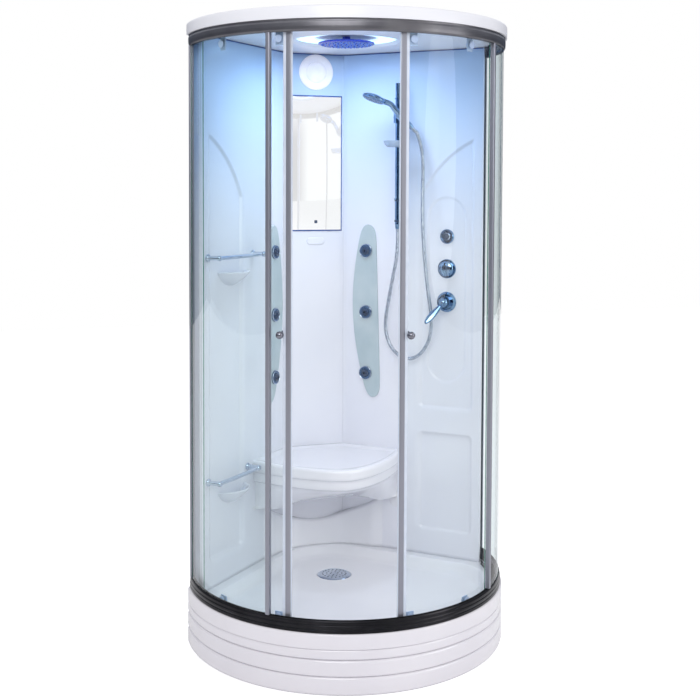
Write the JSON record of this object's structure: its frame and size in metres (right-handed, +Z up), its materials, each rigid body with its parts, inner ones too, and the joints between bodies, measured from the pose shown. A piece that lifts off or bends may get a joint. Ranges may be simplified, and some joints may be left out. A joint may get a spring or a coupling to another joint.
{
  "type": "hydromassage shower cabin",
  "caption": "Corner shower cabin with curved sliding glass doors, wall water jets, slide bar hand shower, mixer, seat, mirror, shelves, deep tray and lit roof with overhead shower",
  "frame": {"origin": "on the floor, on the upright axis that both curved doors turn about, which is the middle of the overall plan", "axes": "+Z up, +X to the right seen through the doors from outside, +Y from the doors to the room corner"},
  "size_m": [1.126, 1.126, 2.15],
  "materials": {
    "shell": "gloss",
    "frame": "satin",
    "feet": "matte",
    "trap": "gloss",
    "drain": "gloss",
    "wall": "gloss",
    "roof": "gloss",
    "rose": "gloss",
    "lamp": "lit",
    "lens": "gloss",
    "mirror": "polished",
    "jet_panel": "gloss",
    "chrome": "polished",
    "pipe": "satin",
    "brass": "satin",
    "chrome_plastic": "chromed",
    "hose": "silver",
    "dish": "gloss",
    "knob_blue": "gloss",
    "rail_light": "brushed",
    "rail_dark": "brushed",
    "glass": "clear",
    "steel": "satin",
    "wheel": "matte",
    "nozzle": "gloss"
  },
  "bodies": {
    "cabin": {"tray": "shell", "apron": "shell", "tray_frame": "frame", "levelling_feet": "feet", "waste_trap": "trap", "drain_flange": "drain", "left_wall": "wall", "right_wall": "wall", "corner_panel": "wall", "seat": "shell", "roof": "roof", "overhead_shower": "rose", "roof_lamp": "lamp", "corner_lamp": "lens", "wall_mirror": "mirror", "left_jet_panel": "jet_panel", "right_jet_panel": "jet_panel", "jet_bezels": "chrome", "water_pipes": "pipe", "mixer_body": "brass", "upper_guard_rail": "chrome", "lower_guard_rail": "chrome", "slide_bar": "chrome", "shower_hose": "hose", "lower_hose_nut": "chrome", "soap_dish": "dish", "control_plates": "chrome", "top_rail": "rail_light", "bottom_rail": "rail_dark", "wall_profiles": "rail_light", "left_fixed_glass": "glass", "right_fixed_glass": "glass", "fixed_posts": "rail_light"},
    "left_door": {"left_door_glass": "glass", "left_door_profile": "rail_light", "left_knob": "chrome", "left_hangers": "steel"},
    "right_door": {"right_door_glass": "glass", "right_door_profile": "rail_light", "right_knob": "chrome", "right_hangers": "steel"},
    "left_wheel_a": {"left_wheel_1": "wheel"},
    "left_wheel_b": {"left_wheel_2": "wheel"},
    "right_wheel_a": {"right_wheel_1": "wheel"},
    "right_wheel_b": {"right_wheel_2": "wheel"},
    "slider": {"bar_slider": "chrome_plastic"},
    "holder": {"handset_holder": "chrome_plastic"},
    "handset": {"hand_shower": "chrome_plastic", "upper_hose_nut": "chrome"},
    "cap": {"mixer_cap": "chrome"},
    "lever": {"mixer_lever": "chrome"},
    "diverter": {"diverter_knob": "knob_blue"},
    "button": {"push_button": "knob_blue"},
    "drain_lid": {"drain_cover": "drain"},
    "jet_1": {"jet_nozzle_1": "nozzle"},
    "jet_2": {"jet_nozzle_2": "nozzle"},
    "jet_3": {"jet_nozzle_3": "nozzle"},
    "jet_4": {"jet_nozzle_4": "nozzle"},
    "jet_5": {"jet_nozzle_5": "nozzle"},
    "jet_6": {"jet_nozzle_6": "nozzle"}
  },
  "joints": [
    {"name": "left_door_slide", "type": "hinge", "parent": "cabin", "child": "left_door", "pos_m": [0, 0, 1.1], "axis": [0, 0, 1], "range_deg": [0, 36.5]},
    {"name": "right_door_slide", "type": "hinge", "parent": "cabin", "child": "right_door", "pos_m": [0, 0, 1.1], "axis": [0, 0, 1], "range_deg": [0, 36.5]},
    {"name": "left_wheel_a_spin", "type": "hinge", "parent": "left_door", "child": "left_wheel_a", "pos_m": [-0.35304, -0.39904, 2.0933], "axis": [-0.6626, -0.749, 0], "range_deg": [-1946, 1946]},
    {"name": "left_wheel_b_spin", "type": "hinge", "parent": "left_door", "child": "left_wheel_b", "pos_m": [-0.49224, -0.20389, 2.0933], "axis": [-0.9239, -0.3827, 0], "range_deg": [-1946, 1946]},
    {"name": "right_wheel_a_spin", "type": "hinge", "parent": "right_door", "child": "right_wheel_a", "pos_m": [0.04644, -0.53077, 2.0933], "axis": [0.0872, -0.9962, 0], "range_deg": [-1946, 1946]},
    {"name": "right_wheel_b_spin", "type": "hinge", "parent": "right_door", "child": "right_wheel_b", "pos_m": [0.27441, -0.4567, 2.0933], "axis": [0.515, -0.8572, 0], "range_deg": [-1946, 1946]},
    {"name": "slider_height", "type": "slide", "parent": "cabin", "child": "slider", "axis": [0, 0, 1], "range_m": [-0.03, 0.04], "deforming": ["shower_hose"]},
    {"name": "holder_tilt", "type": "hinge", "parent": "slider", "child": "holder", "pos_m": [0.25352, 0.1134, 1.856], "axis": [-0.0645, -0.9979, 0], "range_deg": [-20, 20], "deforming": ["shower_hose"]},
    {"name": "handset_lift", "type": "slide", "parent": "holder", "child": "handset", "axis": [-0.7056, 0.0456, 0.7071], "range_m": [0, 0.09], "deforming": ["shower_hose"]},
    {"name": "jet_1_tilt", "type": "hinge", "parent": "cabin", "child": "jet_1", "pos_m": [-0.18031, 0.29486, 0.874], "axis": [-0.7071, -0.7071, 0], "range_deg": [-12, 12]},
    {"name": "jet_2_tilt", "type": "hinge", "parent": "cabin", "child": "jet_2", "pos_m": [-0.18031, 0.29486, 1.111], "axis": [-0.7071, -0.7071, 0], "range_deg": [-12, 12]},
    {"name": "jet_3_tilt", "type": "hinge", "parent": "cabin", "child": "jet_3", "pos_m": [-0.18031, 0.29486, 1.348], "axis": [-0.7071, -0.7071, 0], "range_deg": [-12, 12]},
    {"name": "jet_4_tilt", "type": "hinge", "parent": "cabin", "child": "jet_4", "pos_m": [0.18031, 0.29486, 0.874], "axis": [0.7071, -0.7071, 0], "range_deg": [-12, 12]},
    {"name": "jet_5_tilt", "type": "hinge", "parent": "cabin", "child": "jet_5", "pos_m": [0.18031, 0.29486, 1.111], "axis": [0.7071, -0.7071, 0], "range_deg": [-12, 12]},
    {"name": "jet_6_tilt", "type": "hinge", "parent": "cabin", "child": "jet_6", "pos_m": [0.18031, 0.29486, 1.348], "axis": [0.7071, -0.7071, 0], "range_deg": [-12, 12]},
    {"name": "mixer_turn", "type": "hinge", "parent": "cabin", "child": "cap", "pos_m": [0.42639, 0.07708, 1.164], "axis": [-0.7071, -0.7071, 0], "range_deg": [-15, 60]},
    {"name": "lever_lift", "type": "hinge", "parent": "cap", "child": "lever", "pos_m": [0.40305, 0.05374, 1.164], "axis": [-0.5792, 0.5792, 0.5736], "range_deg": [0, 22]},
    {"name": "diverter_turn", "type": "hinge", "parent": "cabin", "child": "diverter", "pos_m": [0.42639, 0.07708, 1.289], "axis": [-0.7071, -0.7071, 0], "range_deg": [-90, 90]},
    {"name": "button_press", "type": "slide", "parent": "cabin", "child": "button", "axis": [0.7071, 0.7071, 0], "range_m": [0, 0.003], "stiffness_N_per_m": 600},
    {"name": "drain_cover_lift", "type": "slide", "parent": "cabin", "child": "drain_lid", "axis": [0, 0, 1], "range_m": [0, 0.04]}
  ],
  "couplings": [
    {"joint": "left_wheel_a_spin", "follows": "left_door_slide", "ratio": 53.28},
    {"joint": "left_wheel_b_spin", "follows": "left_door_slide", "ratio": 53.28},
    {"joint": "right_wheel_a_spin", "follows": "right_door_slide", "ratio": 53.28},
    {"joint": "right_wheel_b_spin", "follows": "right_door_slide", "ratio": 53.28}
  ]
}
